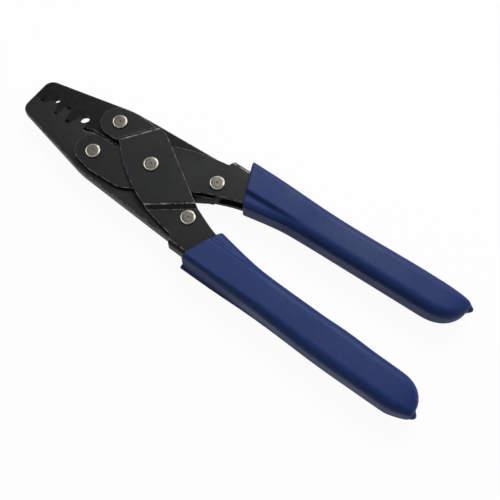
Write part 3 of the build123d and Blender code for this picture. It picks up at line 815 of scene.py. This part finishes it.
class CRIMPER_PG_stage(bpy.types.PropertyGroup):
    """Paper, lamps and camera."""

    paper: colour_setting("Paper", "Floor colour", "#f2f2f2")
    shadow: bpy.props.FloatProperty(
        name="Shadow", description="Share of the real shadow that the floor keeps", default=0.05,
        min=0, max=1, subtype="FACTOR")
    key_power: bpy.props.FloatProperty(
        name="Key power", description="Soft box above and behind", default=14.0, unit="POWER")
    fill_level: bpy.props.FloatProperty(
        name="Fill level", description="Even light of the room", default=0.16, min=0, max=1)
    lens: bpy.props.FloatProperty(
        name="Lens", description="Focal length on a 36 mm frame", default=57.64, unit="CAMERA")
    aim: bpy.props.FloatVectorProperty(
        name="Aim", description="Point that the camera looks at", size=3, subtype="TRANSLATION",
        default=(0.06054, -0.00549, MIDDLE_Z))
    distance: bpy.props.FloatProperty(
        name="Distance", description="Camera to that point", default=0.35873, unit="LENGTH")
    elevation: bpy.props.FloatProperty(
        name="Elevation", description="Camera above the bench", default=math.radians(66.28), unit="ROTATION")
    turn: bpy.props.FloatProperty(
        name="Turn", description="How far the tool lies turned from the camera's own level",
        default=math.radians(35.40), unit="ROTATION")
    roll: bpy.props.FloatProperty(
        name="Roll", description="Tilt of the camera about its own line of sight",
        default=math.radians(0.85), unit="ROTATION")


class CRIMPER_PG_tool(bpy.types.PropertyGroup):
    """All of the crimper's settings."""

    steel: bpy.props.PointerProperty(type=CRIMPER_PG_steel)
    fittings: bpy.props.PointerProperty(type=CRIMPER_PG_fittings)
    grips: bpy.props.PointerProperty(type=CRIMPER_PG_grips)
    stage: bpy.props.PointerProperty(type=CRIMPER_PG_stage)


# ---------------------------------------------------------------- operators
DIES_HALF_MM = 7.5       # the teeth lie nearer than this to the middle line
TIP_MM = 0.3             # the tip's own edges, this near the jaws' end, are broken all the same
PAPER_REACH, PAPER_DROP = 1.5, 0.00005               # half the paper's side, and how far it lies below
BOX_SIZE = (0.9, 0.7)    # soft box
BOX_AT = (0.70, 0.28, 0.85)                          # beyond, to the right of and above the tool


class CRIMPER_OT_handles(bpy.types.Operator):
    """Finish the two folded handles: broken edges and black oxide"""

    bl_idname = "crimper.handles"
    bl_label = "Handles"

    def execute(self, context):
        steel = context.scene.crimper.steel
        flats = oxided_steel("Black oxided rolled sheet", steel.handle_black, steel.handle_rubbed,
                             0.45, 0.5, 0.44, 0.13)
        # slot 1 of the handles: edges rubbed through to the steel, and a painted highlight along the sheet's
        # bends
        edges = rubbed_edge_and_bend_highlight("Rubbed sheet edge and painted bend highlight", steel.handle_rubbed, steel.edge_and_bend_highlight_grey, 2.5)
        for side, body in LEVER_OF.items():
            node = side + "_handle"
            mesh = soften_edges(node, steel.handle_edge, 30, lambda at: False)
            new_piece(node + "_steel", mesh, body, [node], [flats, edges])
        return {"FINISHED"}


class CRIMPER_OT_jaws(bpy.types.Operator):
    """Finish the two jaws: ground plate, broken edges and black oxide"""

    bl_idname = "crimper.jaws"
    bl_label = "Jaws"

    def execute(self, context):
        steel = context.scene.crimper.steel
        edges = rubbed_edge_and_bend_highlight("Rubbed jaw edge", steel.jaw_rubbed, steel.edge_and_bend_highlight_grey, 1.8)
        dies_end = -steel.dies_end / MM

        def in_dies(at):
            return at.x < dies_end and abs(at.y) < DIES_HALF_MM and abs(at.x - CAD_BOX[0].x / MM) > TIP_MM

        for side, black, gloss in (("upper", steel.upper_jaw_black, 0.08), ("lower", steel.jaw_black, 0.17)):
            node = side + "_jaw"
            flats = oxided_steel("Black oxided ground plate, " + side, black, steel.jaw_rubbed,
                                 0.50, 0.35, 0.40, gloss)
            mesh = soften_edges(node, steel.jaw_edge, 24, in_dies)
            new_piece(node + "_plate", mesh, node, [node], [flats, edges])
        return {"FINISHED"}


class CRIMPER_OT_rivets(bpy.types.Operator):
    """Turn the five rivets and set them at their pivots"""

    bl_idname = "crimper.rivets"
    bl_label = "Rivets"

    def execute(self, context):
        sizes = context.scene.crimper.fittings
        steel = bare_steel("Upset rivet steel", sizes.steel, sizes.steel_clean, 0.42, 0.4)
        rim = bare_steel("Polished rivet rim", sizes.rim, sizes.rim_clean, 0.24, 0.5)
        values = {"Head radius": sizes.head_radius, "Head height": sizes.head_height,
                  "Chamfer": sizes.chamfer, "Mark radius": sizes.mark_radius,
                  "Mark depth": sizes.mark_depth, "Shank radius": sizes.shank_radius,
                  "Facets": 72, "First rim ring": 4, "Last rim ring": 7,
                  "Face material": steel, "Rim material": rim}
        floats = {name: value for name, value in values.items() if isinstance(value, float)}
        tree = turned_tree("Rivets", floats, RIVET_RINGS)
        groups = {"lower_lever": ["centre_rivet", "upper_jaw_rivet", "lower_slot_rivet"],
                  "upper_lever": ["lower_jaw_rivet", "upper_slot_rivet"]}
        for body, nodes in groups.items():
            places = []
            for node in nodes:
                low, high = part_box(node)
                seat = (high.z - low.z) / 2 - sizes.head_height
                places.append((*pivot_of(node), seat))
            mesh = turned_mesh(body + "_rivets", tree, places, values, 24)
            new_piece(body + "_rivets", mesh, body, nodes, [])
        return {"FINISHED"}


class CRIMPER_OT_bushes(bpy.types.Operator):
    """Finish the spacer bushes between the arms"""

    bl_idname = "crimper.bushes"
    bl_label = "Bushes"

    def execute(self, context):
        sizes = context.scene.crimper.fittings
        steel = bare_steel("Turned bush steel", sizes.bush, sizes.steel_clean, 0.30, 0.3)
        for node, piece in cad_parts.items():
            if node.endswith("_bush"):
                piece.data.materials.clear()
                piece.data.materials.append(steel)
        return {"FINISHED"}


class CRIMPER_OT_sleeves(bpy.types.Operator):
    """Mould the two vinyl sleeves round the handles"""

    bl_idname = "crimper.sleeves"
    bl_label = "Sleeves"

    def execute(self, context):
        grips = context.scene.crimper.grips
        vinyl = moulded_vinyl("Dip-moulded blue vinyl", grips.blue, grips.deep_blue, 0.50)
        for side, body in LEVER_OF.items():
            node = side + "_grip"
            mesh = Sleeve(side, grips).mesh(node + "_sleeve")
            new_piece(node + "_sleeve", mesh, body, [node], [vinyl])
        return {"FINISHED"}


class CRIMPER_OT_stage(bpy.types.Operator):
    """Lay the paper, hang the lamps and set the camera"""

    bl_idname = "crimper.stage"
    bl_label = "Stage"

    def execute(self, context):
        scene, stage = context.scene, context.scene.crimper.stage
        paper = bpy.data.meshes.new("paper")
        corners = ((-1, -1), (1, -1), (1, 1), (-1, 1))
        paper.from_pydata([(x * PAPER_REACH, y * PAPER_REACH, -PAPER_DROP) for x, y in corners], [],
                          [(0, 1, 2, 3)])
        floor = bpy.data.objects.new("paper", paper)
        scene.collection.objects.link(floor)
        paper.materials.append(studio_paper("Seamless white paper", stage.paper, stage.shadow))

        aim = Vector(stage.aim)
        level = Vector((math.sin(stage.turn), -math.cos(stage.turn), 0.0))   # from the tool to the camera
        lamp = bpy.data.lights.new("soft_box", "AREA")
        lamp.shape, lamp.size, lamp.size_y = "RECTANGLE", *BOX_SIZE
        lamp.energy = stage.key_power
        box = bpy.data.objects.new("soft_box", lamp)
        right = Vector((math.cos(stage.turn), math.sin(stage.turn), 0.0))
        beyond, aside, above = BOX_AT
        box.location = aim - level * beyond + right * aside + Vector((0.0, 0.0, above))
        box.rotation_mode = "QUATERNION"
        box.rotation_quaternion = (aim - box.location).to_track_quat("-Z", "Y")
        scene.collection.objects.link(box)

        world = bpy.data.worlds.new("studio")
        world.use_nodes = True
        tree = world.node_tree
        tree.nodes.clear()
        white = add(tree, "ShaderNodeBackground", {"Color": (1.0, 1.0, 1.0, 1.0), "Strength": 1.0})
        room = add(tree, "ShaderNodeBackground", {"Color": (1.0, 1.0, 1.0, 1.0),
                                                  "Strength": stage.fill_level})
        both = add(tree, "ShaderNodeMixShader", {0: direct_sight(tree), 1: room.outputs[0],
                                                   2: white.outputs[0]})
        add(tree, "ShaderNodeOutputWorld", {"Surface": both.outputs[0]})
        scene.world = world
        scene.view_settings.view_transform = "Standard"

        camera = bpy.data.cameras.new("camera")
        camera.sensor_width, camera.lens = 36.0, stage.lens
        camera.clip_start, camera.clip_end = 0.01, 20.0
        eye = bpy.data.objects.new("camera", camera)
        back = level * math.cos(stage.elevation) + Vector((0.0, 0.0, math.sin(stage.elevation)))
        eye.location = aim + back * stage.distance
        eye.rotation_mode = "QUATERNION"
        eye.rotation_quaternion = (-back).to_track_quat("-Z", "Y") @ Quaternion((0, 0, 1), stage.roll)
        scene.collection.objects.link(eye)
        scene.camera = eye
        return {"FINISHED"}


class CRIMPER_PT_tool(bpy.types.Panel):
    """The crimper's pieces and settings"""

    bl_idname = "CRIMPER_PT_tool"
    bl_label = "Terminal Crimper"
    bl_space_type = "VIEW_3D"
    bl_region_type = "UI"
    bl_category = "Crimper"

    def draw(self, context):
        tool = context.scene.crimper
        for title, group, operators in (
                ("Steel", tool.steel, ("crimper.handles", "crimper.jaws")),
                ("Fittings", tool.fittings, ("crimper.rivets", "crimper.bushes")),
                ("Grips", tool.grips, ("crimper.sleeves",)),
                ("Stage", tool.stage, ("crimper.stage",))):
            box = self.layout.box()
            box.label(text=title)
            for name in group.bl_rna.properties.keys():
                if name not in ("rna_type", "name"):
                    box.prop(group, name)
            for operator in operators:
                box.operator(operator)


CLASSES = (CRIMPER_PG_steel, CRIMPER_PG_fittings, CRIMPER_PG_grips, CRIMPER_PG_stage, CRIMPER_PG_tool,
           CRIMPER_OT_stage, CRIMPER_OT_handles, CRIMPER_OT_jaws, CRIMPER_OT_rivets, CRIMPER_OT_bushes,
           CRIMPER_OT_sleeves, CRIMPER_PT_tool)


def register():
    for cls in CLASSES:
        bpy.utils.register_class(cls)
    bpy.types.Scene.crimper = bpy.props.PointerProperty(type=CRIMPER_PG_tool)


def unregister():
    del bpy.types.Scene.crimper
    for cls in reversed(CLASSES):
        bpy.utils.unregister_class(cls)


def main():
    """Builds every piece in order."""
    register()
    bpy.ops.crimper.stage()
    bpy.ops.crimper.handles()
    bpy.ops.crimper.jaws()
    bpy.ops.crimper.rivets()
    bpy.ops.crimper.bushes()
    bpy.ops.crimper.sleeves()


if __name__ == "__main__":
    main()
